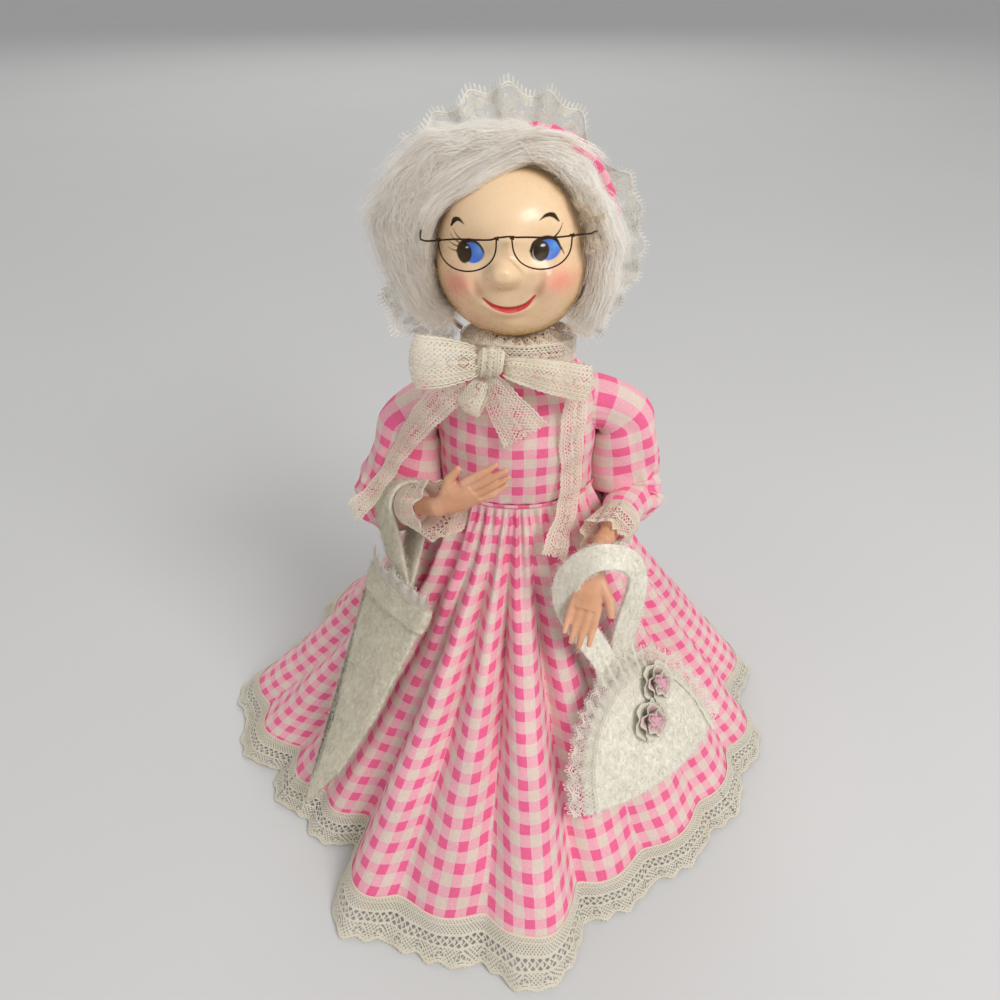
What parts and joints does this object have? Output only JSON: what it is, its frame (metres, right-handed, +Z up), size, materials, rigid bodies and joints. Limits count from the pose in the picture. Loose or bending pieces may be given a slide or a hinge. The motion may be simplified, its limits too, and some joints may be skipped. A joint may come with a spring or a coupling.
{
  "type": "bottle doll",
  "caption": "Grandmother doll in a gingham dress and lace bonnet that stands over a bottle, with posable wire arms, a turning head, a handbag and a closed parasol.",
  "frame": {"origin": "middle of the bottle's base, on the surface that the doll stands on", "axes": "+Z up, the doll faces -Y and its left hand is on +X"},
  "size_m": [0.3948, 0.3961, 0.4213],
  "materials": {
    "bottle_glass": "gloss",
    "cap_plastic": "satin",
    "buckram": "matte",
    "dowel_wood": "matte",
    "wadding": "matte",
    "gingham": "matte",
    "cream_lace": "matte",
    "rosette_lace": "matte",
    "white_felt": "matte",
    "mohair": "matte",
    "face_plastic": "gloss",
    "hand_plastic": "satin",
    "spectacle_wire": "satin",
    "arm_wire": "satin"
  },
  "bodies": {
    "bottle": {"bottle": "bottle_glass", "bottle_cap": "cap_plastic"},
    "doll": {"torso_form": "buckram", "bodice": "gingham", "neck_post": "dowel_wood", "skirt": "gingham", "skirt_lace": "cream_lace", "neck_band": "cream_lace", "bow_knot": "cream_lace", "bow_loop_right": "cream_lace", "bow_loop_left": "cream_lace", "bow_tail": "cream_lace", "streamer_right": "cream_lace", "streamer_left": "cream_lace"},
    "head": {"head_form": "wadding", "face_mask": "face_plastic", "wig": "mohair", "bonnet_crown": "gingham", "bonnet_lace": "cream_lace", "glasses": "spectacle_wire"},
    "right_upper_arm": {"right_upper_arm_wire": "arm_wire", "right_upper_sleeve": "gingham"},
    "right_forearm": {"right_forearm_wire": "arm_wire", "right_lower_sleeve": "gingham", "right_cuff_lace": "cream_lace", "right_hand": "hand_plastic"},
    "left_upper_arm": {"left_upper_arm_wire": "arm_wire", "left_upper_sleeve": "gingham"},
    "left_forearm": {"left_forearm_wire": "arm_wire", "left_lower_sleeve": "gingham", "left_cuff_lace": "cream_lace", "left_hand": "hand_plastic"},
    "handbag": {"bag_body": "white_felt", "bag_lace": "cream_lace", "bag_rosette_upper": "rosette_lace", "bag_rosette_lower": "rosette_lace", "bag_strap": "white_felt"},
    "parasol": {"parasol_canopy": "white_felt", "parasol_lace": "cream_lace", "parasol_strap": "white_felt"}
  },
  "joints": [
    {"name": "lift_off", "type": "slide", "parent": "bottle", "child": "doll", "axis": [0, 0, 1], "range_m": [0, 0.3]},
    {"name": "head_turn", "type": "hinge", "parent": "doll", "child": "head", "pos_m": [0, 0, 0.33], "axis": [0, 0, 1], "range_deg": [-15, 15]},
    {"name": "right_shoulder", "type": "hinge", "parent": "doll", "child": "right_upper_arm", "pos_m": [-0.0473, 0, 0.257], "axis": [-1, 0, 0], "range_deg": [0, 30], "deforming": ["streamer_right"]},
    {"name": "right_elbow", "type": "hinge", "parent": "right_upper_arm", "child": "right_forearm", "pos_m": [-0.0863, 0, 0.185], "axis": [0, 0, -1], "range_deg": [0, 30]},
    {"name": "left_shoulder", "type": "hinge", "parent": "doll", "child": "left_upper_arm", "pos_m": [0.0473, 0, 0.257], "axis": [-1, 0, 0], "range_deg": [0, 30]},
    {"name": "left_elbow", "type": "hinge", "parent": "left_upper_arm", "child": "left_forearm", "pos_m": [0.0763, 0.002, 0.191], "axis": [0, 0, 1], "range_deg": [0, 30]},
    {"name": "bag_swing", "type": "hinge", "parent": "left_forearm", "child": "handbag", "pos_m": [0.0443, -0.068, 0.198], "axis": [-0.2501, -0.4501, -0.8572], "range_deg": [0, 20]},
    {"name": "parasol_swing", "type": "hinge", "parent": "right_forearm", "child": "parasol", "pos_m": [-0.066, -0.0259, 0.2019], "axis": [-0.5473, 0.7004, -0.4582], "range_deg": [0, 20]}
  ]
}
